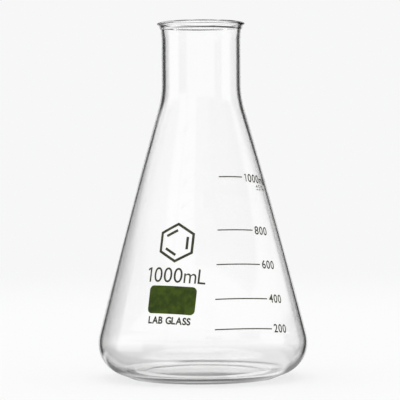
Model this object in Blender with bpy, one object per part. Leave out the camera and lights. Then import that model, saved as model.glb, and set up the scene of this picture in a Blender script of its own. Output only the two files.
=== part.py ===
"""Conical laboratory flask, 1000 mL: one blown glass vessel and the enamel marks fired on it.

Units are metres and +Z is up. The origin is the centre of the ring that the flask stands on,
and the front of the flask faces -Y. An azimuth is in degrees from the front towards +X.
"""

import math
from collections import namedtuple

import bmesh
import bpy
from mathutils import Matrix, Vector

# The vessel
HEIGHT = 0.2240
BODY_RADIUS = 0.0658
NECK_RADIUS = 0.0250
NECK_WALL = 0.0022
HEEL_WALL = 0.0020
BASE_THICKNESS = 0.0028
TURN_STEPS = 56

# Shoulder, wall and heel, given by their arcs
SHOULDER_TOP = 0.1853
SHOULDER_ARC = 0.060
SHOULDER_TURN = 15.8
WALL_BOW = 0.0005
INNER_BOW = 0.0013
HEEL_ARC = 0.0206
HEEL_CENTRE = (BODY_RADIUS - HEEL_ARC, 0.0225)
HEEL_START = 14.2
HEEL_END = -69.0
INNER_HEEL_END = -80.0
SHOULDER_STEPS = 4
WALL_STEPS = 5
HEEL_STEPS = 9

# The foot: a flat ring round a base that is pushed up in the middle
FOOT_OUTER = 0.0435
FOOT_INNER = 0.0380
FOOT_FILLET = 0.0030
BASE_RISE = 0.0023
BASE_STEPS = 3

# Rim, from the bore over the flange and the bead to the neck: radius, depth below top, fillet
BORE_RADIUS = NECK_RADIUS - NECK_WALL
RIM_CORNERS = (
    (0.0240, 0.0008, 0.0006),
    (0.0252, 0.0, 0.0010),
    (0.0276, 0.0008, 0.0005),
    (0.0277, 0.0016, 0.0004),
    (0.0264, 0.0023, 0.0003),
    (0.0262, 0.0040, 0.0004),
    (0.0253, 0.0051, 0.0006),
    (NECK_RADIUS, 0.0110, 0.0060),
)
FLARE_DEPTH = 0.0110
FLARE_FILLET = 0.0060
FILLET_STEP = 30.0

# Enamel: how far the plates stand off the glass, and how thick they are
ENAMEL_GAP = 0.0003
ENAMEL_THICKNESS = 0.0004
ENAMEL_SLICE = 0.0040
ARTWORK_FAN = 0.7

# Lettering: the font's own capital height, and shares of the height of a capital
FONT_CAPITAL = 0.682
CURVE_STEPS = 2
FIGURE_WIDTH = 0.95
LETTER_WIDTH = 0.885
LETTER_GAP = 0.17
AFTER_ONE = 0.12
WORD_GAP = 0.55

# A figure one with a flag, one unit high
FIGURE_ONE = (
    (0.19, 0.0),
    (0.32, 0.0),
    (0.32, 1.0),
    (0.22, 1.0),
    (0.0, 0.88),
    (0.045, 0.77),
    (0.19, 0.85),
)

# The scale of graduations: label, height, azimuth where its line starts
GRADUATIONS = (
    ("1000", 0.1265, 15.4, 39.2),
    ("800", 0.0941, 11.2, 40.0),
    ("600", 0.0734, 9.2, 41.1),
    ("400", 0.0528, 7.4, 41.8),
    ("200", 0.0349, 6.5, 41.4),
)
LINE_WIDTH = 0.0007
LINE_TILT = 0.022
NUMBER_CAP = 0.0050
NUMBER_TILT = 0.075
NUMBER_GAP = 0.0018
NUMBER_DROP = 0.0006
TOLERANCE_CAP = 0.0034
TOLERANCE_PLACE = (54.7, 0.1181)

# The parts of the tolerance sign, as shares of its height
SIGN_STROKE = 0.13
SIGN_WIDTH = 0.62
PLUS_RISE = 0.34
MINUS_RISE = 0.07
FIVE_START = 0.85
SLASH_MIDDLE = (2.2, 0.5)
SLASH_LEAN = -0.45
PERCENT_RINGS = (("left", 1.88, 0.77), ("right", 2.52, 0.23))
RING_SIZES = (0.21, 0.09)
RING_SIDES = (10, 6)

# The label on the left of the front
LABEL_PLACE = (-17.9, 0.0660)
LABEL_TILT = 0.038
CAPACITY_CAP = 0.0090
CAPACITY_START = (-0.0184, -0.0033)
CAPACITY_GAP = 0.11
PANEL_SIZE = (0.0304, 0.0172)
PANEL_CENTRE = (-0.0004, -0.0141)
PANEL_FILLET = 0.0028
WORDS_CAP = 0.0041
WORDS_GAP = 0.117
WORDS_START = (-0.0141, -0.0288)
EMBLEM_CENTRE = (-0.0011, 0.0214)
EMBLEM_RADIUS = 0.0125
EMBLEM_STROKE = 0.0016
EMBLEM_BAR = 0.0078
BAR_INSET = 1.6

Place = namedtuple("Place", "azimuth height tilt")


def clear_scene():
    for old in list(bpy.data.objects):
        bpy.data.objects.remove(old)


def surface(name, colour, roughness, transmission=0.0):
    """A Principled material."""
    material = bpy.data.materials.new(name)
    material.use_nodes = True
    shader = material.node_tree.nodes["Principled BSDF"]
    shader.inputs["Base Color"].default_value = (*colour, 1.0)
    shader.inputs["Roughness"].default_value = roughness
    shader.inputs["Metallic"].default_value = 0.0
    shader.inputs["Transmission Weight"].default_value = transmission
    return material


# ---------------------------------------------------------------- outlines


def arc(centre, radius, start, end, steps):
    """Points along an arc from one angle to another, both ends included."""
    angles = [math.radians(start + (end - start) * i / steps) for i in range(steps + 1)]
    return [(centre[0] + radius * math.cos(a), centre[1] + radius * math.sin(a)) for a in angles]


def bowed(start, end, bow, share):
    """The point at this share of a line that bulges by bow, to the left of its direction."""
    line = Vector(end) - Vector(start)
    side = Vector((-line.y, line.x)).normalized()
    return tuple(Vector(start) + line * share + side * bow * 4.0 * share * (1.0 - share))


def bowed_line(start, end, bow, steps):
    return [bowed(start, end, bow, i / steps) for i in range(1, steps)]


def rounded(before, corner, after, radius):
    """The corner between two points, turned on an arc."""
    corner = Vector(corner)
    back = (Vector(before) - corner).normalized()
    ahead = (Vector(after) - corner).normalized()
    turn = math.pi - back.angle(ahead)
    reach = radius * math.tan(turn / 2.0)
    middle = corner + (back + ahead).normalized() * math.hypot(reach, radius)
    first = corner + back * reach - middle
    last = corner + ahead * reach - middle
    steps = max(1, math.ceil(math.degrees(turn) / FILLET_STEP))
    points = []
    for i in range(steps + 1):
        share = i / steps
        spoke = (first * math.sin((1.0 - share) * turn) + last * math.sin(share * turn)) / math.sin(turn)
        points.append(tuple(middle + spoke))
    return points


def filleted(corners):
    """Points along corners given as (radius from the axis, height, fillet), ends left out."""
    points = []
    for before, corner, after in zip(corners, corners[1:], corners[2:]):
        points += rounded(before[:2], corner[:2], after[:2], corner[2])
    return points


SHOULDER_CENTRE = (NECK_RADIUS + SHOULDER_ARC, SHOULDER_TOP)
WALL_TOP = arc(SHOULDER_CENTRE, SHOULDER_ARC, 180.0, 180.0 + SHOULDER_TURN, 1)[-1]
WALL_FOOT = arc(HEEL_CENTRE, HEEL_ARC, HEEL_START, HEEL_END, 1)[0]
WALL_LENGTH = math.dist(WALL_TOP, WALL_FOOT)
WALL_DROP = WALL_TOP[1] - WALL_FOOT[1]
WALL_LEAN = math.asin((WALL_FOOT[0] - WALL_TOP[0]) / WALL_LENGTH)


def pushed_up_base(level):
    """From the axis out to the foot, over the base that rises in the middle."""
    shares = [i / BASE_STEPS for i in range(BASE_STEPS + 1)]
    return [(FOOT_INNER * share, level + BASE_RISE * (1.0 - share**2)) for share in shares]


def inner_outline():
    """The inside, from the axis out over the base and up to the neck's bore."""
    heel = arc(HEEL_CENTRE, HEEL_ARC - HEEL_WALL, INNER_HEEL_END, HEEL_START, HEEL_STEPS)
    reach = SHOULDER_ARC + NECK_WALL
    shoulder = arc(SHOULDER_CENTRE, reach, 180.0 + SHOULDER_TURN, 180.0, SHOULDER_STEPS)
    wall = bowed_line(heel[-1], shoulder[0], -INNER_BOW, WALL_STEPS)
    return pushed_up_base(BASE_THICKNESS) + heel + wall + shoulder


def rim_outline():
    """Over the rim, from the bore where it starts to flare to the outside of the neck."""
    corners = [(BORE_RADIUS, SHOULDER_TOP, 0.0)]
    corners.append((BORE_RADIUS, HEIGHT - FLARE_DEPTH, FLARE_FILLET))
    corners += [(radius, HEIGHT - depth, fillet) for radius, depth, fillet in RIM_CORNERS]
    corners.append((NECK_RADIUS, SHOULDER_TOP, 0.0))
    return filleted(corners)


def outer_outline():
    """The outside, from the foot of the neck down to the axis under the base."""
    shoulder = arc(SHOULDER_CENTRE, SHOULDER_ARC, 180.0, 180.0 + SHOULDER_TURN, SHOULDER_STEPS)
    heel = arc(HEEL_CENTRE, HEEL_ARC, HEEL_START, HEEL_END, HEEL_STEPS)
    wall = bowed_line(shoulder[-1], heel[0], WALL_BOW, WALL_STEPS)
    foot = rounded(heel[-1], (FOOT_OUTER, 0.0), (FOOT_INNER, 0.0), FOOT_FILLET)
    return shoulder + wall + heel + foot + pushed_up_base(0.0)[::-1]


def make_vessel(glass):
    """The section, turned once about the axis."""
    outline = inner_outline() + rim_outline() + outer_outline()
    mesh = bpy.data.meshes.new("flask_body")
    edges = [(i, i + 1) for i in range(len(outline) - 1)]
    mesh.from_pydata([(radius, 0.0, height) for radius, height in outline], edges, [])
    vessel = bpy.data.objects.new("flask_body", mesh)
    bpy.context.collection.objects.link(vessel)
    mesh.materials.append(glass)
    turn = vessel.modifiers.new("turned", "SCREW")
    turn.steps = TURN_STEPS
    turn.render_steps = TURN_STEPS
    turn.use_merge_vertices = True
    turn.merge_threshold = 0.00001
    turn.use_smooth_shade = True


# ---------------------------------------------------------------- flat shapes


def flat_curve(outlines):
    """A filled flat shape from closed outlines, where one inside another is a hole."""
    curve = bpy.data.curves.new("shape", "CURVE")
    curve.dimensions = "2D"
    curve.fill_mode = "BOTH"
    for outline in outlines:
        spline = curve.splines.new("POLY")
        spline.points.add(len(outline) - 1)
        for point, (x, y) in zip(spline.points, outline):
            point.co = (x, y, 0.0, 1.0)
        spline.use_cyclic_u = True
    return curve


def letter_curve(letter):
    """A figure or letter of the built-in font, but a one that has its flag."""
    if letter == "1":
        return flat_curve([[(x * FONT_CAPITAL, y * FONT_CAPITAL) for x, y in FIGURE_ONE]])
    curve = bpy.data.curves.new("letter", "FONT")
    curve.body = letter
    curve.resolution_u = CURVE_STEPS
    return curve


def flat_plate(curve):
    """The curve's shape as a closed mesh, one unit thick, from z = 0 to z = 1."""
    curve.extrude = 0.5
    pattern = bpy.data.objects.new("pattern", curve)
    bpy.context.collection.objects.link(pattern)
    bpy.context.view_layer.update()
    plate = bmesh.new()
    plate.from_mesh(pattern.to_mesh())
    bpy.data.objects.remove(pattern)
    bmesh.ops.remove_doubles(plate, verts=plate.verts, dist=0.00001)
    bmesh.ops.translate(plate, verts=plate.verts, vec=(0.0, 0.0, 0.5))
    return plate


def turned(outline, angle):
    """The outline turned by this many radians about the origin."""
    return [tuple(Matrix.Rotation(angle, 2) @ Vector(point)) for point in outline]


def box_outline(width, height, centre=(0.0, 0.0)):
    x, y = centre
    half, rise = width / 2.0, height / 2.0
    return [(x - half, y - rise), (x + half, y - rise), (x + half, y + rise), (x - half, y + rise)]


def ring_outline(radius, sides, centre=(0.0, 0.0), first=0.0):
    angles = [math.radians(first) + math.tau * i / sides for i in range(sides)]
    return [(centre[0] + radius * math.cos(a), centre[1] + radius * math.sin(a)) for a in angles]


def plus_outline(size, stroke):
    """A plus sign in a square of this size whose lower left corner is the origin."""
    near, far = (size - stroke) / 2.0, (size + stroke) / 2.0
    return [
        (near, 0.0), (far, 0.0), (far, near), (size, near), (size, far), (far, far),
        (far, size), (near, size), (near, far), (0.0, far), (0.0, near), (near, near),
    ]


# ---------------------------------------------------------------- marks on the wall


def on_wall(x, y, lift, place):
    """The point of flat artwork at (x, y) when the artwork is laid round the conical wall.

    The artwork is turned clockwise by the place's tilt, and it spreads out like a fan with its
    pivot above the shoulder, as a flat transfer does on a cone.
    """
    across = x * math.cos(place.tilt) + y * math.sin(place.tilt)
    up = y * math.cos(place.tilt) - x * math.sin(place.tilt)
    share = (WALL_TOP[1] - place.height) / WALL_DROP
    radius = bowed(WALL_TOP, WALL_FOOT, WALL_BOW, share)[0]
    pivot = radius / (math.sin(WALL_LEAN) * ARTWORK_FAN)
    reach = math.hypot(across, pivot - up)
    share += (reach - pivot) / WALL_LENGTH
    radius, height = bowed(WALL_TOP, WALL_FOOT, WALL_BOW, share)
    azimuth = math.radians(place.azimuth) + math.atan2(across, pivot - up) * reach / radius
    radius += lift * math.cos(WALL_LEAN)
    height += lift * math.sin(WALL_LEAN)
    return Vector((radius * math.sin(azimuth), -radius * math.cos(azimuth), height))


def slice_across(plate):
    """Cuts across a wide plate, so that its faces can follow the round wall."""
    columns = [vertex.co.x for vertex in plate.verts]
    first = math.ceil(min(columns) / ENAMEL_SLICE)
    for number in range(first, math.ceil(max(columns) / ENAMEL_SLICE)):
        everything = plate.verts[:] + plate.edges[:] + plate.faces[:]
        cut = (number * ENAMEL_SLICE, 0.0, 0.0)
        bmesh.ops.bisect_plane(plate, geom=everything, dist=0.000001, plane_co=cut, plane_no=(1, 0, 0))


def print_mark(name, plate, place, enamel):
    """Lays a flat plate round the wall as one enamel mark."""
    slice_across(plate)
    bmesh.ops.triangulate(plate, faces=plate.faces)
    for vertex in plate.verts:
        lift = ENAMEL_GAP + ENAMEL_THICKNESS * vertex.co.z
        vertex.co = on_wall(vertex.co.x, vertex.co.y, lift, place)
    bmesh.ops.recalc_face_normals(plate, faces=plate.faces)
    mesh = bpy.data.meshes.new(name)
    plate.to_mesh(mesh)
    plate.free()
    mesh.materials.append(enamel)
    bpy.context.collection.objects.link(bpy.data.objects.new(name, mesh))


def print_shape(name, outlines, place, enamel):
    print_mark(name, flat_plate(flat_curve(outlines)), place, enamel)


def print_letters(prefix, text, cap, start, place, enamel, gap=LETTER_GAP):
    """Sets a line of text from its lower left corner, one node for each figure or letter."""
    x, baseline = start
    count = 0
    for letter in text:
        if letter == " ":
            x += (WORD_GAP - gap) * cap
            continue
        count += 1
        plate = flat_plate(letter_curve(letter))
        left = min(vertex.co.x for vertex in plate.verts)
        stretch = cap / FONT_CAPITAL
        width = stretch * (FIGURE_WIDTH if letter.isdigit() else LETTER_WIDTH)
        for vertex in plate.verts:
            vertex.co.x = x + (vertex.co.x - left) * width
            vertex.co.y = baseline + vertex.co.y * stretch
        x = max(vertex.co.x for vertex in plate.verts) + gap * cap
        x += AFTER_ONE * cap if letter == "1" else 0.0
        kind = "figure" if letter.isdigit() else "letter"
        print_mark(f"{prefix}_{kind}_{count}", plate, place, enamel)


def make_graduations(enamel):
    """Five lines round the front right, each with its number after it."""
    for label, height, start, end in GRADUATIONS:
        radius = bowed(WALL_TOP, WALL_FOOT, WALL_BOW, (WALL_TOP[1] - height) / WALL_DROP)[0]
        length = math.radians(end - start) * radius
        middle = Place((start + end) / 2.0, height, LINE_TILT)
        print_shape(f"line_{label}", [box_outline(length, LINE_WIDTH)], middle, enamel)
        after = Place(end + math.degrees(NUMBER_GAP / radius), height - NUMBER_DROP, NUMBER_TILT)
        text = label + "mL" if label == "1000" else label
        print_letters(f"number_{label}", text, NUMBER_CAP, (0.0, -NUMBER_CAP / 2.0), after, enamel)


def make_tolerance(enamel):
    """The plus or minus 5 % sign under the highest number, in shapes that don't touch."""
    place = Place(*TOLERANCE_PLACE, NUMBER_TILT)
    cap = TOLERANCE_CAP
    stroke = SIGN_STROKE * cap
    size = SIGN_WIDTH * cap
    plus = [(x, y + PLUS_RISE * cap) for x, y in plus_outline(size, stroke)]
    print_shape("tolerance_plus", [plus], place, enamel)
    bar = box_outline(size, stroke, (size / 2.0, MINUS_RISE * cap))
    print_shape("tolerance_minus", [bar], place, enamel)
    print_letters("tolerance", "5", cap, (FIVE_START * cap, 0.0), place, enamel)
    across, up = SLASH_MIDDLE
    slash = turned(box_outline(stroke, cap), SLASH_LEAN)
    slash = [(x + across * cap, y + up * cap) for x, y in slash]
    print_shape("tolerance_slash", [slash], place, enamel)
    for side, x, y in PERCENT_RINGS:
        sizes = zip(RING_SIZES, RING_SIDES)
        ring = [ring_outline(size * cap, sides, (x * cap, y * cap)) for size, sides in sizes]
        print_shape(f"tolerance_ring_{side}", ring, place, enamel)


def panel_outline():
    """The rounded rectangle of the marking panel."""
    corners = box_outline(*PANEL_SIZE, PANEL_CENTRE)
    points = []
    for i, corner in enumerate(corners):
        points += rounded(corners[i - 1], corner, corners[(i + 1) % 4], PANEL_FILLET)
    return points


def make_emblem(place, enamel):
    """A hexagon ring with three bars inside it, a sign of no maker's."""
    inner = EMBLEM_RADIUS - EMBLEM_STROKE / math.cos(math.pi / 6.0)
    ring = [ring_outline(EMBLEM_RADIUS, 6, EMBLEM_CENTRE, 30.0), ring_outline(inner, 6, EMBLEM_CENTRE, 30.0)]
    print_shape("emblem_hexagon", ring, place, enamel)
    offset = inner * math.cos(math.pi / 6.0) - BAR_INSET * EMBLEM_STROKE
    for number, angle in enumerate((0.0, 120.0, 240.0), 1):
        bar = turned(box_outline(EMBLEM_STROKE, EMBLEM_BAR, (offset, 0.0)), math.radians(angle))
        bar = [(x + EMBLEM_CENTRE[0], y + EMBLEM_CENTRE[1]) for x, y in bar]
        print_shape(f"emblem_bar_{number}", [bar], place, enamel)


def make_label(enamel, green_enamel):
    """Emblem, capacity, marking panel and words, one below the other."""
    place = Place(*LABEL_PLACE, LABEL_TILT)
    make_emblem(place, enamel)
    print_letters("capacity", "1000mL", CAPACITY_CAP, CAPACITY_START, place, enamel, CAPACITY_GAP)
    print_shape("marking_panel", [panel_outline()], place, green_enamel)
    print_letters("words", "LAB GLASS", WORDS_CAP, WORDS_START, place, enamel, WORDS_GAP)


clear_scene()
make_vessel(surface("clear_glass", (0.93, 0.95, 0.94), 0.02, 1.0))
dark = surface("dark_enamel", (0.09, 0.085, 0.065), 0.45)
make_graduations(dark)
make_tolerance(dark)
make_label(dark, surface("green_enamel", (0.045, 0.075, 0.015), 0.5))
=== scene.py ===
# %% [markdown]
# # A conical laboratory flask in clear glass
#
# The flask is one blown piece of borosilicate glass that holds 1000 mL. Its scale, its capacity
# and a panel to write on are screen printed in ceramic enamel and fired into the surface.
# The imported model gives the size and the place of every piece. This script gives each of them
# its fine surface and its finish, on a pale floor in soft studio light.

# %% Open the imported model
import math
from collections import namedtuple

import bmesh
import bpy
from mathutils import Matrix, Vector, noise


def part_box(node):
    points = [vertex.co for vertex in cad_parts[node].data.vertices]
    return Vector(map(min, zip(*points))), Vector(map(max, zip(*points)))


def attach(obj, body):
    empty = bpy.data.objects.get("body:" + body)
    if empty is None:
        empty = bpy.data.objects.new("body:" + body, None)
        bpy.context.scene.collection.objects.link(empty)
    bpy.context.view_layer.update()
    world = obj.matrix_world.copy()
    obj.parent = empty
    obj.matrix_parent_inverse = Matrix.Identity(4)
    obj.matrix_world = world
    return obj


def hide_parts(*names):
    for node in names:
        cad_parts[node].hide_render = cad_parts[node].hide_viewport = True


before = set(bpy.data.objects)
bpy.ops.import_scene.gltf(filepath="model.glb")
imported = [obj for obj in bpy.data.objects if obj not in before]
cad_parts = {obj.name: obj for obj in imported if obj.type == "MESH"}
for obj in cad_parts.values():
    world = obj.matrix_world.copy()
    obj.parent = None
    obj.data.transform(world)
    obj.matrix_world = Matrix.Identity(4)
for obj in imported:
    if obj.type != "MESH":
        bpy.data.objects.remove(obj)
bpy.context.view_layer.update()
body_low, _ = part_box("flask_body")
print("nodes:", len(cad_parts))

# %% [markdown]
# ## The section of the vessel
#
# A blown vessel is round, so its whole shape is one section turned about its axis. The section
# could be a spline drawn by eye, but a glassblower's mould is drawn with straight runs and arcs
# that meet without a kink. So the section is made of arcs, of one long bowed line for the wall,
# and of corners with a fillet for the rim.

# %% Arcs, bowed lines and fillets
def arc(centre, radius, start, end, steps):
    """Points along an arc from one angle to another, both ends included."""
    angles = [math.radians(start + (end - start) * i / steps) for i in range(steps + 1)]
    return [(centre[0] + radius * math.cos(a), centre[1] + radius * math.sin(a)) for a in angles]


def bowed(start, end, bow, share):
    """The point at this share of a line that bulges by bow, to the left of its direction."""
    line = Vector(end) - Vector(start)
    side = Vector((-line.y, line.x)).normalized()
    return tuple(Vector(start) + line * share + side * bow * 4.0 * share * (1.0 - share))


def bowed_line(start, end, bow, steps):
    """Points along a bowed line, both ends left out."""
    return [bowed(start, end, bow, i / steps) for i in range(1, steps)]


FILLET_STEP = 8.0


def rounded(before, corner, after, radius):
    """The corner between two points, turned on an arc."""
    corner = Vector(corner)
    back = (Vector(before) - corner).normalized()
    ahead = (Vector(after) - corner).normalized()
    turn = math.pi - back.angle(ahead)
    reach = radius * math.tan(turn / 2.0)
    middle = corner + (back + ahead).normalized() * math.hypot(reach, radius)
    first = corner + back * reach - middle
    last = corner + ahead * reach - middle
    steps = max(2, math.ceil(math.degrees(turn) / FILLET_STEP))
    points = []
    for i in range(steps + 1):
        share = i / steps
        spoke = first * math.sin((1.0 - share) * turn) + last * math.sin(share * turn)
        points.append(tuple(middle + spoke / math.sin(turn)))
    return points


def filleted(corners):
    """Points along corners given as (radius from the axis, height, fillet), ends left out."""
    points = []
    for before, corner, after in zip(corners, corners[1:], corners[2:]):
        points += rounded(before[:2], corner[:2], after[:2], corner[2])
    return points


# %% [markdown]
# These sizes are close to those of a common 1000 mL flask with a wide neck: 131 mm across, 224 mm
# tall and 50 mm at the neck. The wall is thickest at the base and the neck and thinnest on the
# cone, as glass is after blowing.

# %% Sizes of the section, in metres
HEIGHT = 0.2240
BODY_RADIUS = 0.0658
NECK_RADIUS = 0.0250
NECK_WALL = 0.0022
HEEL_WALL = 0.0020
BASE_THICKNESS = 0.0028
SHOULDER_TOP = 0.1853
SHOULDER_ARC = 0.060
SHOULDER_TURN = 15.8
WALL_BOW = 0.0005
INNER_BOW = 0.0013
HEEL_ARC = 0.0206
HEEL_CENTRE = (BODY_RADIUS - HEEL_ARC, 0.0225)
HEEL_START = 14.2
HEEL_END = -69.0
INNER_HEEL_END = -80.0
FOOT_OUTER = 0.0435
FOOT_INNER = 0.0380
FOOT_FILLET = 0.0030
BASE_RISE = 0.0023
BORE_RADIUS = NECK_RADIUS - NECK_WALL
FLARE_DEPTH = 0.0110
FLARE_FILLET = 0.0060
SHOULDER_CENTRE = (NECK_RADIUS + SHOULDER_ARC, SHOULDER_TOP)
WALL_TOP = arc(SHOULDER_CENTRE, SHOULDER_ARC, 180.0, 180.0 + SHOULDER_TURN, 1)[-1]
WALL_FOOT = arc(HEEL_CENTRE, HEEL_ARC, HEEL_START, HEEL_END, 1)[0]
WALL_LENGTH = math.dist(WALL_TOP, WALL_FOOT)
WALL_DROP = WALL_TOP[1] - WALL_FOOT[1]
WALL_LEAN = math.asin((WALL_FOOT[0] - WALL_TOP[0]) / WALL_LENGTH)
print("the wall leans by", round(math.degrees(WALL_LEAN), 1), "degrees")

# %% [markdown]
# The rim is worked hot: the glass is flared, folded out into a thin flange, and left with a bead
# under it that a clamp or a rubber band can grip. Eight corners carry that shape, each as its
# radius from the axis, its depth below the top and the fillet that the flame leaves on it.

# %% The three stretches of the section
RIM_CORNERS = (
    (0.0240, 0.0008, 0.0006),
    (0.0252, 0.0, 0.0010),
    (0.0276, 0.0008, 0.0005),
    (0.0277, 0.0016, 0.0004),
    (0.0264, 0.0023, 0.0003),
    (0.0262, 0.0040, 0.0004),
    (0.0253, 0.0051, 0.0006),
    (NECK_RADIUS, 0.0110, 0.0060),
)
BASE_STEPS = 12
SHOULDER_STEPS = 14
WALL_STEPS = 26
HEEL_STEPS = 28


def pushed_up_base(level):
    """From the axis out to the foot, over the base that rises in the middle."""
    shares = [i / BASE_STEPS for i in range(BASE_STEPS + 1)]
    return [(FOOT_INNER * share, level + BASE_RISE * (1.0 - share**2)) for share in shares]


def inner_outline():
    """The inside, from the axis out over the base and up to the neck's bore."""
    heel = arc(HEEL_CENTRE, HEEL_ARC - HEEL_WALL, INNER_HEEL_END, HEEL_START, HEEL_STEPS)
    reach = SHOULDER_ARC + NECK_WALL
    shoulder = arc(SHOULDER_CENTRE, reach, 180.0 + SHOULDER_TURN, 180.0, SHOULDER_STEPS)
    wall = bowed_line(heel[-1], shoulder[0], -INNER_BOW, WALL_STEPS)
    return pushed_up_base(BASE_THICKNESS) + heel + wall + shoulder


def rim_outline():
    """Over the rim, from the bore where it starts to flare to the outside of the neck."""
    corners = [(BORE_RADIUS, SHOULDER_TOP, 0.0)]
    corners.append((BORE_RADIUS, HEIGHT - FLARE_DEPTH, FLARE_FILLET))
    corners += [(radius, HEIGHT - depth, fillet) for radius, depth, fillet in RIM_CORNERS]
    corners.append((NECK_RADIUS, SHOULDER_TOP, 0.0))
    return filleted(corners)


def outer_outline():
    """The outside, from the foot of the neck down to the axis under the base."""
    shoulder = arc(SHOULDER_CENTRE, SHOULDER_ARC, 180.0, 180.0 + SHOULDER_TURN, SHOULDER_STEPS)
    heel = arc(HEEL_CENTRE, HEEL_ARC, HEEL_START, HEEL_END, HEEL_STEPS)
    wall = bowed_line(shoulder[-1], heel[0], WALL_BOW, WALL_STEPS)
    foot = rounded(heel[-1], (FOOT_OUTER, 0.0), (FOOT_INNER, 0.0), FOOT_FILLET)
    return shoulder + wall + heel + foot + pushed_up_base(0.0)[::-1]


inside = inner_outline()
outside = rim_outline() + outer_outline()
print("section points:", len(inside), "inside and", len(outside), "outside")

# %% [markdown]
# ## The blown glass
#
# A mould sets the outside of a blown vessel, but only air sets the inside, so the wall is never
# quite even. That is what makes the dark lines in real glass swell and thin a little. A bump in
# the material would fake it on both faces alike. Moving the inner skin itself by a few
# hundredths of a millimetre bends the light as the real wall does.

# %% Turn the section into a vessel
TURN_STEPS = 224
ON_AXIS = 1e-7
RIPPLE = 0.00005
RIPPLE_SIZE = 0.022


def ripple(point):
    """How far the inner skin is out of true here, as a length towards the axis."""
    return RIPPLE * noise.noise(Vector(point) / RIPPLE_SIZE)


def turned_glass(name, inside, outside):
    """A closed glass body: the section's points as rings, joined by quads, closed at the axis."""
    shell = bmesh.new()
    rings = []
    section = [(point, True) for point in inside] + [(point, False) for point in outside]
    for (radius, height), is_inside in section:
        ring = []
        for i in range(1 if radius < ON_AXIS else TURN_STEPS):
            angle = math.tau * i / TURN_STEPS
            place = Vector((radius * math.cos(angle), radius * math.sin(angle), height))
            if is_inside:
                place -= place.normalized() * ripple(place)
            ring.append(shell.verts.new(place))
        rings.append(ring)
    for near, far in zip(rings, rings[1:]):
        for i in range(TURN_STEPS):
            j = (i + 1) % TURN_STEPS
            if len(near) == 1:
                corners = (near[0], far[j], far[i])
            elif len(far) == 1:
                corners = (near[i], near[j], far[0])
            else:
                corners = (near[i], near[j], far[j], far[i])
            shell.faces.new(corners).smooth = True
    bmesh.ops.recalc_face_normals(shell, faces=shell.faces)
    mesh = bpy.data.meshes.new(name)
    shell.to_mesh(mesh)
    shell.free()
    vessel = bpy.data.objects.new(name, mesh)
    bpy.context.scene.collection.objects.link(vessel)
    return vessel


vessel = turned_glass("glass_vessel", inside, outside)
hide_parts("flask_body")
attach(vessel, "root")
print("vessel faces:", len(vessel.data.polygons))

# %% [markdown]
# ## Nodes that every finish needs
#
# Each finish here is made of the same few nodes: noise that is fixed to the piece, a blend of two
# colours, and a relief. A picture wrapped round the piece could carry them too, but it would blur
# close up and need a seam. Nodes stay sharp at any distance, so they are set up once, as helpers.

# %% Helpers for finishes
def new_material(name):
    """A new material with its nodes, its links and its main shader."""
    material = bpy.data.materials.new(name)
    material.use_nodes = True
    nodes = material.node_tree.nodes
    return material, nodes, material.node_tree.links, nodes["Principled BSDF"]


def noise_pattern(nodes, links, scale, detail):
    """Noise that is fixed to the piece, as its output socket."""
    place = nodes.new("ShaderNodeTexCoord")
    pattern = nodes.new("ShaderNodeTexNoise")
    pattern.inputs["Scale"].default_value = scale
    pattern.inputs["Detail"].default_value = detail
    links.new(place.outputs["Object"], pattern.inputs["Vector"])
    return pattern.outputs["Fac"]


def two_colours(nodes, links, value, low, high):
    """Two colours, each given as (value, colour), with a blend between, as its output socket."""
    ramp = nodes.new("ShaderNodeValToRGB")
    for stop, (position, colour) in zip(ramp.color_ramp.elements, (low, high)):
        stop.position = position
        stop.color = (*colour, 1.0)
    links.new(value, ramp.inputs["Fac"])
    return ramp.outputs["Color"]


def add_bump(nodes, links, shader, height, strength, depth):
    """Gives the shader's surface a relief of this depth."""
    bump = nodes.new("ShaderNodeBump")
    bump.inputs["Strength"].default_value = strength
    bump.inputs["Distance"].default_value = depth
    links.new(height, bump.inputs["Height"])
    links.new(bump.outputs["Normal"], shader.inputs["Normal"])


# %% [markdown]
# ## Clear borosilicate glass
#
# This glass is almost colourless: only along an edge, where you look through a long stretch of
# it, does it turn slightly grey-green. An even tint on the surface would colour the thin wall as
# much as the thick rim. Absorption inside the volume does what the real glass does. The Facing
# output of the Layer Weight node is 0 where the surface faces the viewer and 1 where it is seen
# edge on. A grey laid out along it is painted shade: it darkens the outline of the glass wherever
# it is seen edge on. The surface is fire polished, with a faint drag from the mould that shows
# only in reflections.

# %% Glass material
GLASS_IOR = 1.473
GLASS_TINT = (0.90, 0.96, 0.92)
GLASS_ABSORPTION = 6.0
EDGE_START = 0.74
EDGE_FULL = 0.95
EDGE_PAINTED_SHADE = (0.45, 0.45, 0.43)
DRAG_SCALE = 60.0
DRAG_DETAIL = 2.0
DRAG_STRENGTH = 0.05
DRAG_DEPTH = 0.0002
WHITE = (1.0, 1.0, 1.0)


def clear_glass():
    """Smooth clear glass with painted shade where it is seen edge on, and a faint drag in its
    skin.
    """
    material, nodes, links, shader = new_material("clear_borosilicate")
    shader.inputs["Transmission Weight"].default_value = 1.0
    shader.inputs["Roughness"].default_value = 0.0
    shader.inputs["IOR"].default_value = GLASS_IOR
    # Painted shade: a grey base colour where the surface is seen edge on darkens the glass's
    # outline.
    facing = nodes.new("ShaderNodeLayerWeight").outputs["Facing"]
    painted_edge_shade = two_colours(nodes, links, facing, (EDGE_START, WHITE), (EDGE_FULL, EDGE_PAINTED_SHADE))
    links.new(painted_edge_shade, shader.inputs["Base Color"])
    drag = noise_pattern(nodes, links, DRAG_SCALE, DRAG_DETAIL)
    add_bump(nodes, links, shader, drag, DRAG_STRENGTH, DRAG_DEPTH)
    absorption = nodes.new("ShaderNodeVolumeAbsorption")
    absorption.inputs["Color"].default_value = (*GLASS_TINT, 1.0)
    absorption.inputs["Density"].default_value = GLASS_ABSORPTION
    links.new(absorption.outputs["Volume"], nodes["Material Output"].inputs["Volume"])
    return material


vessel.data.materials.append(clear_glass())
print("glass bends light by", GLASS_IOR)

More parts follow.
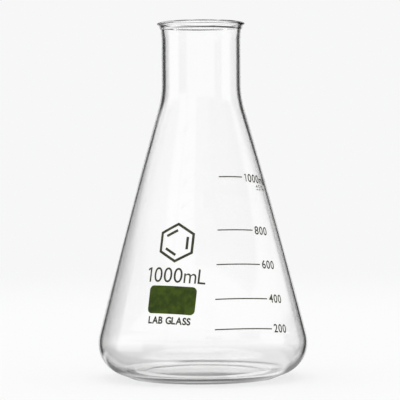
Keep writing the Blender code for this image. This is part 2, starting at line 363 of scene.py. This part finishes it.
# %% [markdown]
# ## Laying flat artwork round the wall
#
# The marks are printed from flat artwork. Shrink-wrapping flat letters onto the wall would smear
# them along its slope. Instead each point of the artwork is measured out along the wall and round
# it, and the lines of text spread like a fan, as paper does when it is rolled into a cone.

# %% From artwork to wall
Place = namedtuple("Place", "azimuth height tilt")
ARTWORK_FAN = 0.7


def wall_radius(height):
    """The outer radius of the cone at this height."""
    return bowed(WALL_TOP, WALL_FOOT, WALL_BOW, (WALL_TOP[1] - height) / WALL_DROP)[0]


def on_wall(x, y, lift, place):
    """The point of flat artwork at (x, y), laid round the wall and lifted off it."""
    across = x * math.cos(place.tilt) + y * math.sin(place.tilt)
    up = y * math.cos(place.tilt) - x * math.sin(place.tilt)
    pivot = wall_radius(place.height) / (math.sin(WALL_LEAN) * ARTWORK_FAN)
    reach = math.hypot(across, pivot - up)
    share = (WALL_TOP[1] - place.height) / WALL_DROP + (reach - pivot) / WALL_LENGTH
    radius, height = bowed(WALL_TOP, WALL_FOOT, WALL_BOW, share)
    azimuth = math.radians(place.azimuth) + math.atan2(across, pivot - up) * reach / radius
    radius += lift * math.cos(WALL_LEAN)
    height += lift * math.sin(WALL_LEAN)
    return Vector((radius * math.sin(azimuth), -radius * math.cos(azimuth), height))


halfway = (WALL_TOP[1] + WALL_FOOT[1]) / 2.0
print("radius halfway up the wall in mm:", round(1000 * wall_radius(halfway), 1))

# %% [markdown]
# ## Enamel as real, thin pieces
#
# Fired enamel is fused into the skin of the glass and stands a few hundredths of a millimetre
# proud of it. A picture on the glass would be lighter to make, but it would have no thickness and
# no edge of its own. Here each figure, line and panel is a thin closed plate, cut across in narrow
# slices so that it follows the round wall, bent onto it, and sunk a little so that no air shows
# behind it.

# %% Flat curves from outlines and letters
FONT_CAPITAL = 0.682
CURVE_STEPS = 8
FIGURE_ONE = (
    (0.19, 0.0),
    (0.32, 0.0),
    (0.32, 1.0),
    (0.22, 1.0),
    (0.0, 0.88),
    (0.045, 0.77),
    (0.19, 0.85),
)


def flat_curve(outlines):
    """A filled flat shape from closed outlines, where one inside another is a hole."""
    curve = bpy.data.curves.new("shape", "CURVE")
    curve.dimensions = "2D"
    curve.fill_mode = "BOTH"
    for outline in outlines:
        spline = curve.splines.new("POLY")
        spline.points.add(len(outline) - 1)
        for point, (x, y) in zip(spline.points, outline):
            point.co = (x, y, 0.0, 1.0)
        spline.use_cyclic_u = True
    return curve


def letter_curve(letter, weight):
    """A figure or letter of the built-in font, made heavier by weight, but a one with its flag."""
    if letter == "1":
        return flat_curve([[(x * FONT_CAPITAL, y * FONT_CAPITAL) for x, y in FIGURE_ONE]])
    curve = bpy.data.curves.new("letter", "FONT")
    curve.body = letter
    curve.resolution_u = CURVE_STEPS
    curve.offset = weight
    return curve


print("corners in the figure one:", len(FIGURE_ONE))

# %% [markdown]
# The built-in font and the outlines both give a flat curve. Extruding it and merging the points
# that its faces share gives a closed plate, which can be cut and bent like any mesh.

# %% From a curve to a plate
SAME_POINT = 0.000001


def flat_plate(curve):
    """The curve's shape as a closed mesh, one unit thick, from z = 0 to z = 1."""
    curve.extrude = 0.5
    pattern = bpy.data.objects.new("pattern", curve)
    bpy.context.scene.collection.objects.link(pattern)
    bpy.context.view_layer.update()
    plate = bmesh.new()
    plate.from_mesh(pattern.to_mesh())
    bpy.data.objects.remove(pattern)
    bmesh.ops.remove_doubles(plate, verts=plate.verts, dist=SAME_POINT)
    bmesh.ops.translate(plate, verts=plate.verts, vec=(0.0, 0.0, 0.5))
    return plate


# %% [markdown]
# A plate becomes a mark in three steps: slice it across, bend it onto the wall, and hand it over
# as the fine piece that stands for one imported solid.

# %% Bend a plate onto the wall
ENAMEL_SUNK = 0.00002
ENAMEL_THICKNESS = 0.00005
ENAMEL_SLICE = 0.0008
SLICE_TOLERANCE = 1e-7
marks = []


def slice_across(plate):
    """Cuts across the plate, so that its faces can follow the round wall."""
    columns = [vertex.co.x for vertex in plate.verts]
    first = math.ceil(min(columns) / ENAMEL_SLICE)
    for number in range(first, math.ceil(max(columns) / ENAMEL_SLICE)):
        bmesh.ops.bisect_plane(
            plate,
            geom=plate.verts[:] + plate.edges[:] + plate.faces[:],
            dist=SLICE_TOLERANCE,
            plane_co=(number * ENAMEL_SLICE, 0.0, 0.0),
            plane_no=(1.0, 0.0, 0.0),
        )


def print_mark(node, plate, place, enamel):
    """Lays a flat plate round the wall as the fine piece that stands for one packed mark."""
    slice_across(plate)
    bmesh.ops.triangulate(plate, faces=plate.faces)
    for vertex in plate.verts:
        lift = ENAMEL_THICKNESS * vertex.co.z - ENAMEL_SUNK
        vertex.co = on_wall(vertex.co.x, vertex.co.y, lift, place)
    bmesh.ops.recalc_face_normals(plate, faces=plate.faces)
    mesh = bpy.data.meshes.new("enamel_" + node)
    plate.to_mesh(mesh)
    plate.free()
    mesh.materials.append(enamel)
    mark = bpy.data.objects.new("enamel_" + node, mesh)
    bpy.context.scene.collection.objects.link(mark)
    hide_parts(node)
    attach(mark, "root")
    marks.append(mark)


def print_shape(node, outlines, place, enamel):
    """Prints one mark from flat outlines."""
    print_mark(node, flat_plate(flat_curve(outlines)), place, enamel)


print("enamel stands proud by", round(1000 * (ENAMEL_THICKNESS - ENAMEL_SUNK), 3), "mm")

# %% [markdown]
# ## The enamel's finish
#
# The colour is a dark olive frit, ground fine and pressed through a silk screen. It fires to a
# satin skin with a slight grain, a little thinner where the mesh crossed. An even paint would look
# like plastic film. Two sizes of noise give the cloudy depth and the grain, and the same grain
# drives the roughness and a very small bump.

# %% Enamel material
CLOUD_SCALE = 260.0
CLOUD_DETAIL = 4.0
GRAIN_SCALE = 2600.0
GRAIN_DETAIL = 3.0
GRAIN_STRENGTH = 0.35
GRAIN_DEPTH = 0.00003
FULL_BELOW = 0.38
THIN_ABOVE = 0.62
ENAMEL_SPECULAR = 0.22
SMOOTHER = 0.08
ROUGHER = 0.10


def fired_enamel(name, thin, full, roughness):
    """Ceramic ink whose colour runs from thin to full coverage, with a fine grain."""
    material, nodes, links, shader = new_material(name)
    cloud = noise_pattern(nodes, links, CLOUD_SCALE, CLOUD_DETAIL)
    grain = noise_pattern(nodes, links, GRAIN_SCALE, GRAIN_DETAIL)
    colour = two_colours(nodes, links, cloud, (FULL_BELOW, full), (THIN_ABOVE, thin))
    links.new(colour, shader.inputs["Base Color"])
    shader.inputs["Specular IOR Level"].default_value = ENAMEL_SPECULAR
    spread = nodes.new("ShaderNodeMapRange")
    spread.inputs["To Min"].default_value = roughness - SMOOTHER
    spread.inputs["To Max"].default_value = roughness + ROUGHER
    links.new(grain, spread.inputs["Value"])
    links.new(spread.outputs["Result"], shader.inputs["Roughness"])
    add_bump(nodes, links, shader, grain, GRAIN_STRENGTH, GRAIN_DEPTH)
    return material


OLIVE = {"thin": (0.070, 0.072, 0.040), "full": (0.035, 0.040, 0.018), "roughness": 0.45}
GREEN = {"thin": (0.060, 0.100, 0.005), "full": (0.030, 0.056, 0.002), "roughness": 0.60}
dark_enamel = fired_enamel("fired_olive_enamel", **OLIVE)
green_enamel = fired_enamel("fired_green_enamel", **GREEN)
print("two enamels:", dark_enamel.name, green_enamel.name)

# %% [markdown]
# ## Figures and words
#
# The figures are narrow and upright, with a one that carries a flag. They are set from the left,
# each after the last with a fixed gap between them, which suits print this small better than the
# font's own spacing.

# %% Set a line of text
FIGURE_WIDTH = 0.95
LETTER_WIDTH = 0.885
LETTER_GAP = 0.17
AFTER_ONE = 0.12
WORD_GAP = 0.55


def print_letters(prefix, text, cap, start, place, enamel, weight, gap=LETTER_GAP):
    """Sets a line of text from its lower left corner, one piece for each figure or letter."""
    x, baseline = start
    count = 0
    for letter in text:
        if letter == " ":
            x += (WORD_GAP - gap) * cap
            continue
        count += 1
        grown = 0.0 if letter == "1" else weight
        plate = flat_plate(letter_curve(letter, grown))
        left = min(vertex.co.x for vertex in plate.verts) + grown
        stretch = cap / FONT_CAPITAL
        width = stretch * (FIGURE_WIDTH if letter.isdigit() else LETTER_WIDTH)
        for vertex in plate.verts:
            vertex.co.x = x + (vertex.co.x - left) * width
            vertex.co.y = baseline + vertex.co.y * stretch
        x = max(vertex.co.x for vertex in plate.verts) - grown * width + gap * cap
        x += AFTER_ONE * cap if letter == "1" else 0.0
        kind = "figure" if letter.isdigit() else "letter"
        print_mark(f"{prefix}_{kind}_{count}", plate, place, enamel)


def box_outline(width, height, centre=(0.0, 0.0)):
    """The corners of an upright rectangle."""
    x, y = centre
    half, rise = width / 2.0, height / 2.0
    return [(x - half, y - rise), (x + half, y - rise), (x + half, y + rise), (x - half, y + rise)]


# %% [markdown]
# ## The graduations
#
# Five lines run round the right of the front, each followed by its number. On a real flask they
# are a guide to about five per cent, as the small sign under the top number says. Here they stand
# where they look right, and the volume of this section was not used to place them.

# %% Lines and numbers of the scale
GRADUATIONS = (
    ("1000", 0.1265, 15.4, 39.2),
    ("800", 0.0941, 11.2, 40.0),
    ("600", 0.0734, 9.2, 41.1),
    ("400", 0.0528, 7.4, 41.8),
    ("200", 0.0349, 6.5, 41.4),
)
LINE_WIDTH = 0.0007
LINE_TILT = 0.022
NUMBER_CAP = 0.0050
NUMBER_WEIGHT = 0.014
NUMBER_TILT = 0.075
NUMBER_GAP = 0.0018
NUMBER_DROP = 0.0006

for label, height, start, end in GRADUATIONS:
    radius = wall_radius(height)
    length = math.radians(end - start) * radius
    middle = Place((start + end) / 2.0, height, LINE_TILT)
    print_shape(f"line_{label}", [box_outline(length, LINE_WIDTH)], middle, dark_enamel)
    after = Place(end + math.degrees(NUMBER_GAP / radius), height - NUMBER_DROP, NUMBER_TILT)
    text = label + "mL" if label == "1000" else label
    corner = (0.0, -NUMBER_CAP / 2.0)
    print_letters(f"number_{label}", text, NUMBER_CAP, corner, after, dark_enamel, NUMBER_WEIGHT)
    print(label, "line is", round(1000 * length, 1), "mm long")

# %% [markdown]
# The sign under the top number is built from bars and rings, as the font's own percent sign
# would be one shape with parts too fine to print.

# %% Small shapes for signs
def plus_outline(size, stroke):
    """A plus sign in a square of this size whose lower left corner is the origin."""
    near, far = (size - stroke) / 2.0, (size + stroke) / 2.0
    return [
        (near, 0.0), (far, 0.0), (far, near), (size, near), (size, far), (far, far),
        (far, size), (near, size), (near, far), (0.0, far), (0.0, near), (near, near),
    ]


def turned(outline, angle):
    """The outline turned by this many radians about the origin."""
    return [tuple(Matrix.Rotation(angle, 2) @ Vector(point)) for point in outline]


def ring_outline(radius, sides, centre=(0.0, 0.0), first=0.0):
    """The corners of a regular shape round a centre, the first one at the angle first."""
    angles = [math.radians(first) + math.tau * i / sides for i in range(sides)]
    return [(centre[0] + radius * math.cos(a), centre[1] + radius * math.sin(a)) for a in angles]


print("corners in a plus sign:", len(plus_outline(1.0, 0.2)))

# %% [markdown]
# The sign says plus or minus five per cent. Its parts are placed from its lower left corner, as
# shares of its height, and none of them touches another.

# %% The small tolerance sign
TOLERANCE_CAP = 0.0034
TOLERANCE_PLACE = (54.7, 0.1181)
SIGN_STROKE = 0.13
SIGN_WIDTH = 0.62
PLUS_RISE = 0.34
MINUS_RISE = 0.07
FIVE_START = 0.85
SLASH_MIDDLE = (2.2, 0.5)
SLASH_LEAN = -0.45
PERCENT_RINGS = (("left", 1.88, 0.77), ("right", 2.52, 0.23))
RING_SIZES = (0.21, 0.09)
RING_SIDES = (28, 20)


def print_tolerance(cap, place):
    """Plus or minus 5 %, in shapes that don't touch."""
    stroke = SIGN_STROKE * cap
    size = SIGN_WIDTH * cap
    plus = [(x, y + PLUS_RISE * cap) for x, y in plus_outline(size, stroke)]
    print_shape("tolerance_plus", [plus], place, dark_enamel)
    bar = box_outline(size, stroke, (size / 2.0, MINUS_RISE * cap))
    print_shape("tolerance_minus", [bar], place, dark_enamel)
    print_letters("tolerance", "5", cap, (FIVE_START * cap, 0.0), place, dark_enamel, 0.0)
    across, up = SLASH_MIDDLE
    slash = turned(box_outline(stroke, cap), SLASH_LEAN)
    slash = [(x + across * cap, y + up * cap) for x, y in slash]
    print_shape("tolerance_slash", [slash], place, dark_enamel)
    for side, x, y in PERCENT_RINGS:
        sizes = zip(RING_SIZES, RING_SIDES)
        ring = [ring_outline(size * cap, sides, (x * cap, y * cap)) for size, sides in sizes]
        print_shape(f"tolerance_ring_{side}", ring, place, dark_enamel)


print_tolerance(TOLERANCE_CAP, Place(*TOLERANCE_PLACE, NUMBER_TILT))
print("tolerance sign is", round(1000 * TOLERANCE_CAP, 1), "mm high")

# %% [markdown]
# ## The label
#
# On the left of the front stand a sign, the capacity in large figures, a panel to write on in
# pencil, and two plain words. The sign is a hexagon with three bars, which belongs to no maker.

# %% Sign, capacity, panel and words
LABEL_PLACE = (-17.9, 0.0660)
LABEL_TILT = 0.038
CAPACITY_CAP = 0.0090
CAPACITY_WEIGHT = 0.0
CAPACITY_START = (-0.0184, -0.0033)
CAPACITY_GAP = 0.11
PANEL_SIZE = (0.0304, 0.0172)
PANEL_CENTRE = (-0.0004, -0.0141)
PANEL_FILLET = 0.0028
WORDS_CAP = 0.0041
WORDS_WEIGHT = 0.034
WORDS_GAP = 0.117
WORDS_START = (-0.0141, -0.0288)
EMBLEM_CENTRE = (-0.0011, 0.0214)
EMBLEM_SIDES = 6
EMBLEM_FIRST_CORNER = 30.0
EMBLEM_RADIUS = 0.0125
EMBLEM_STROKE = 0.0016
EMBLEM_BAR = 0.0078
BAR_INSET = 1.6


def panel_outline():
    """The rounded rectangle of the marking panel."""
    corners = box_outline(*PANEL_SIZE, PANEL_CENTRE)
    points = []
    for i, corner in enumerate(corners):
        points += rounded(corners[i - 1], corner, corners[(i + 1) % 4], PANEL_FILLET)
    return points


def print_emblem(place):
    """A hexagon ring with three bars inside it."""
    flat_share = math.cos(math.pi / EMBLEM_SIDES)
    inner = EMBLEM_RADIUS - EMBLEM_STROKE / flat_share
    setting = (EMBLEM_SIDES, EMBLEM_CENTRE, EMBLEM_FIRST_CORNER)
    ring = [ring_outline(radius, *setting) for radius in (EMBLEM_RADIUS, inner)]
    print_shape("emblem_hexagon", ring, place, dark_enamel)
    offset = inner * flat_share - BAR_INSET * EMBLEM_STROKE
    for number, angle in enumerate((0.0, 120.0, 240.0), 1):
        bar = turned(box_outline(EMBLEM_STROKE, EMBLEM_BAR, (offset, 0.0)), math.radians(angle))
        bar = [(x + EMBLEM_CENTRE[0], y + EMBLEM_CENTRE[1]) for x, y in bar]
        print_shape(f"emblem_bar_{number}", [bar], place, dark_enamel)


label_place = Place(*LABEL_PLACE, LABEL_TILT)
print_emblem(label_place)
setting = (label_place, dark_enamel, CAPACITY_WEIGHT, CAPACITY_GAP)
print_letters("capacity", "1000mL", CAPACITY_CAP, CAPACITY_START, *setting)
print_shape("marking_panel", [panel_outline()], label_place, green_enamel)
setting = (label_place, dark_enamel, WORDS_WEIGHT, WORDS_GAP)
print_letters("words", "LAB GLASS", WORDS_CAP, WORDS_START, *setting)
print("marks printed:", len(marks))

# %% [markdown]
# ## The room
#
# Clear glass shows only what is round it. A usual way to light it is a bright panel behind and
# dark boards beside the panel: the middle then shows the panel, and the edges, which bend light
# by 20 to 40 degrees, turn into dark lines. The same is done here with the sky: a bright panel
# behind and one on the left, dark gaps beside them, an open pale room on the right and in front,
# and a soft light overhead. The camera itself sees only an even pale backdrop.

# %% Helpers for node graphs
def math_node(nodes, links, operation, *values):
    """A math node whose inputs are sockets or plain numbers, as its output socket."""
    node = nodes.new("ShaderNodeMath")
    node.operation = operation
    for socket, value in zip(node.inputs, values):
        if isinstance(value, (int, float)):
            socket.default_value = value
        else:
            links.new(value, socket)
    return node.outputs[0]


def smooth_step(nodes, links, value, low, high, to_low=0.0, to_high=1.0):
    """Moves smoothly from to_low to to_high as value goes from low to high."""
    step = nodes.new("ShaderNodeMapRange")
    step.interpolation_type = "SMOOTHSTEP"
    step.inputs["From Min"].default_value = low
    step.inputs["From Max"].default_value = high
    step.inputs["To Min"].default_value = to_low
    step.inputs["To Max"].default_value = to_high
    links.new(value, step.inputs["Value"])
    return step.outputs["Result"]


# %% [markdown]
# Each panel is given by the direction of its middle, by two angles from there, where it starts to
# fade and where it has ended, and by its light. Where no panel stands there is a dark board.

# %% Panels round the flask
PANELS = (
    ((0.0, 1.0, 0.0), 16.0, 23.0, 1.00),
    ((-1.0, 0.0, 0.0), 16.0, 23.0, 1.00),
)
ROOM = (((1.0, -1.0, 0.0), 84.0, 93.0, 0.75),)
HIGH_LEFT = (((-1.0, 0.35, 0.0), 60.0, 75.0, 0.80),)
DARK_BOARD_AND_PAINTED_SHADE = 0.035


def light_all_round(nodes, links, direction, panels):
    """The light of these panels in this direction, with a dark board where there is none."""
    level = nodes.new("ShaderNodeVectorMath")
    level.operation = "MULTIPLY"
    level.inputs[1].default_value = (1.0, 1.0, 0.0)
    links.new(direction, level.inputs[0])
    ahead = nodes.new("ShaderNodeVectorMath")
    ahead.operation = "NORMALIZE"
    links.new(level.outputs["Vector"], ahead.inputs[0])
    light = DARK_BOARD_AND_PAINTED_SHADE
    for middle, inner, outer, strength in panels:
        cosine = nodes.new("ShaderNodeVectorMath")
        cosine.operation = "DOT_PRODUCT"
        cosine.inputs[1].default_value = Vector(middle).normalized()
        links.new(ahead.outputs["Vector"], cosine.inputs[0])
        edges = [math.cos(math.radians(angle)) for angle in (outer, inner)]
        panel = smooth_step(nodes, links, cosine.outputs["Value"], *edges, 0.0, strength)
        light = math_node(nodes, links, "MAXIMUM", panel, light)
    return light


print("panels and lights round the flask:", len(PANELS + ROOM + HIGH_LEFT))

# %% [markdown]
# The two panels are low, so only rays near the ground meet them. The room and a light on the left
# reach higher: the sloping front of the cone mirrors them as a soft sheen. The overhead light
# starts so high that the edge of the rim still mirrors the dark board below it, and stays dark.

# %% The sky
BACKDROP = (0.930, 0.930, 0.935)
PANEL_TOP = (14.0, 20.0)
HIGH_BOARD = 0.06
LEFT_FROM = (9.5, 16.0)
OVERHEAD_FROM = (42.0, 56.0)
OVERHEAD = 2.2


def between_heights(nodes, links, rise, angles, low, high):
    """Goes from low to high as the direction rises from one angle above the ground to another."""
    edges = [math.sin(math.radians(angle)) for angle in angles]
    return smooth_step(nodes, links, rise, *edges, low, high)


def light_the_room():
    """Lights the flask from the sky, and shows the camera itself only the plain backdrop."""
    world = bpy.data.worlds.new("studio")
    bpy.context.scene.world = world
    world.use_nodes = True
    nodes, links = world.node_tree.nodes, world.node_tree.links
    background = nodes["Background"]
    direction = nodes.new("ShaderNodeTexCoord").outputs["Generated"]
    axes = nodes.new("ShaderNodeSeparateXYZ")
    links.new(direction, axes.inputs["Vector"])
    rise = axes.outputs["Z"]
    side = light_all_round(nodes, links, direction, PANELS)
    low = between_heights(nodes, links, rise, PANEL_TOP, 1.0, 0.0)
    light = math_node(nodes, links, "MULTIPLY", side, low)
    room = light_all_round(nodes, links, direction, ROOM)
    left = light_all_round(nodes, links, direction, HIGH_LEFT)
    above = between_heights(nodes, links, rise, LEFT_FROM, 0.0, 1.0)
    left = math_node(nodes, links, "MULTIPLY", left, above)
    top = between_heights(nodes, links, rise, OVERHEAD_FROM, HIGH_BOARD, OVERHEAD)
    for more in (room, left, top):
        light = math_node(nodes, links, "MAXIMUM", light, more)
    # Set to mix colours, this node has them in sockets 6 and 7, and the result in output 2
    ray = nodes.new("ShaderNodeLightPath")
    seen = nodes.new("ShaderNodeMix")
    seen.data_type = "RGBA"
    links.new(ray.outputs["Is Camera Ray"], seen.inputs[0])
    links.new(light, seen.inputs[6])
    seen.inputs[7].default_value = (*BACKDROP, 1.0)
    links.new(seen.outputs[2], background.inputs["Color"])


light_the_room()
print("overhead light from", OVERHEAD_FROM[0], "degrees up")

# %% [markdown]
# The floor is a plain pale sheet. Seen directly it is even, with a faint shadow, and runs out
# into the backdrop without an edge. What the glass shows of it is painted light and shade, laid
# out like the room and glowing on its own: a painted bright strip runs under the flask from corner
# to corner with a bright patch under the foot, painted grey and dark stretches lie on both sides
# of it with a grey ring round the foot, and the floor towards the room is painted a little
# lighter. So from above, too, the middle of the glass is bright and its edges are drawn dark.

# %% Light and dark on the floor
# Painted light and shade on the floor, seen only from inside the glass: a bright strip, a bright
# patch under the foot, a grey ring round it, a lighter stretch towards the room, near black
# elsewhere.
PAINTED_STRIP_DIRECTION = (-1.0, 1.0, 0.0)
PAINTED_STRIP_EDGE = (0.80, 0.93)
UNDER_FLASK = (0.045, 0.062)
RING_FADE = (0.085, 0.13)
RING_TONE = 0.22
FRONT_EDGE = (-0.55, -0.20)
FRONT_TONE = 0.30


def floor_tones(nodes, links, position, away):
    """The painted light and shade that rays in the glass see on the floor: strip, foot, ring,
    dark.
    """
    ahead = nodes.new("ShaderNodeVectorMath")
    ahead.operation = "NORMALIZE"
    links.new(position, ahead.inputs[0])
    along = nodes.new("ShaderNodeVectorMath")
    along.operation = "DOT_PRODUCT"
    along.inputs[1].default_value = Vector(PAINTED_STRIP_DIRECTION).normalized()
    links.new(ahead.outputs["Vector"], along.inputs[0])
    turn = math_node(nodes, links, "ABSOLUTE", along.outputs["Value"])
    lit = smooth_step(nodes, links, turn, *PAINTED_STRIP_EDGE, 0.0, BACKDROP[0])
    under = smooth_step(nodes, links, away, *UNDER_FLASK, BACKDROP[0], DARK_BOARD_AND_PAINTED_SHADE)
    ring = smooth_step(nodes, links, away, *RING_FADE, RING_TONE, DARK_BOARD_AND_PAINTED_SHADE)
    front = smooth_step(nodes, links, along.outputs["Value"], *FRONT_EDGE, FRONT_TONE, 0.0)
    for tone in (under, ring, front):
        lit = math_node(nodes, links, "MAXIMUM", lit, tone)
    return lit


print("floor is light out to", round(1000 * UNDER_FLASK[0]), "mm from the axis")

# %% [markdown]
# At a low angle the floor is polished instead, and mirrors the panels and the gaps between them.
# The camera's own rays see neither: they meet the plain backdrop's colour, mixed near the flask
# with a share of real diffuse surface that catches its soft shadow.

# %% Floor material
FLOOR_COLOUR = (0.88, 0.88, 0.885)
FLOOR_ROUGHNESS = 0.9
SHADOW_SHARE = 0.20
SHADOW_FADE = (0.5, 1.5)
POLISH = 0.02
LOW_ANGLE = (0.74, 0.83)
MIRROR_NEAR = (0.10, 0.30, 0.76, 1.0)


def mixed(nodes, links, share, first, second):
    """A mix of two surfaces, as its output socket."""
    mix = nodes.new("ShaderNodeMixShader")
    for socket, value in zip(mix.inputs, (share, first, second)):
        links.new(value, socket)
    return mix.outputs["Shader"]


def pale_floor():
    """A pale floor that shows the camera an even tone and the glass its painted light and shade.
    """
    material, nodes, links, shader = new_material("pale_floor")
    shader.inputs["Roughness"].default_value = FLOOR_ROUGHNESS
    shader.inputs["Specular IOR Level"].default_value = 0.0
    shader.inputs["Base Color"].default_value = (*FLOOR_COLOUR, 1.0)
    position = nodes.new("ShaderNodeNewGeometry").outputs["Position"]
    length = nodes.new("ShaderNodeVectorMath")
    length.operation = "LENGTH"
    links.new(position, length.inputs[0])
    away = length.outputs["Value"]
    mirror = nodes.new("ShaderNodeBsdfGlossy")
    mirror.inputs["Roughness"].default_value = POLISH
    links.new(smooth_step(nodes, links, away, *MIRROR_NEAR), mirror.inputs["Color"])
    # For rays in the glass the floor glows with painted light and shade instead of being lit.
    painted_tones = nodes.new("ShaderNodeEmission")
    links.new(floor_tones(nodes, links, position, away), painted_tones.inputs["Color"])
    facing = nodes.new("ShaderNodeLayerWeight").outputs["Facing"]
    low = smooth_step(nodes, links, facing, *LOW_ANGLE)
    in_glass = mixed(nodes, links, low, painted_tones.outputs["Emission"], mirror.outputs["BSDF"])
    plain = nodes.new("ShaderNodeEmission")
    plain.inputs["Color"].default_value = (*BACKDROP, 1.0)
    share = smooth_step(nodes, links, away, *SHADOW_FADE, SHADOW_SHARE, 0.0)
    direct = mixed(nodes, links, share, plain.outputs["Emission"], shader.outputs["BSDF"])
    seen = nodes.new("ShaderNodeLightPath").outputs["Is Camera Ray"]
    surface = mixed(nodes, links, seen, in_glass, direct)
    links.new(surface, nodes["Material Output"].inputs["Surface"])
    return material


print("the shadow falls on", round(100 * SHADOW_SHARE), "per cent of the floor's light")

# %% [markdown]
# The sheet itself is a wide disc, so wide that its rim lies at the horizon. It is a hair below the
# foot ring, so that the two don't share a plane.

# %% The floor
FLOOR_RADIUS = 60.0
FLOOR_SIDES = 96
FLOOR_DROP = 0.00002

bpy.ops.mesh.primitive_circle_add(vertices=FLOOR_SIDES, radius=FLOOR_RADIUS, fill_type="NGON")
floor = bpy.context.object
floor.name = "floor"
floor.location.z = body_low.z - FLOOR_DROP
floor.data.materials.append(pale_floor())
print("floor at", round(floor.location.z, 5))

# %% [markdown]
# ## The camera
#
# The eye is straight in front, a little above the middle of the flask, with a long lens. So the
# rim is seen slightly from below and the base slightly from above.

# %% Place the camera
CAMERA_DISTANCE = 1.35
EYE_LEVEL = 0.131
CAMERA_ROLL = 0.007
VISIBLE_WIDTH = 0.2519
SENSOR = 36.0
SHIFT = (-0.0045, -0.0758)

camera_data = bpy.data.cameras.new("camera")
camera_data.sensor_width = SENSOR
camera_data.lens = SENSOR * CAMERA_DISTANCE / VISIBLE_WIDTH
camera_data.shift_x, camera_data.shift_y = SHIFT
camera = bpy.data.objects.new("camera", camera_data)
eye = Matrix.Translation((0.0, -CAMERA_DISTANCE, EYE_LEVEL))
level = eye @ Matrix.Rotation(math.pi / 2.0, 4, "X")
camera.matrix_world = level @ Matrix.Rotation(-CAMERA_ROLL, 4, "Z")
bpy.context.scene.collection.objects.link(camera)
bpy.context.scene.camera = camera
bpy.context.scene.view_settings.view_transform = "Standard"
print("lens in mm:", round(camera_data.lens, 1))
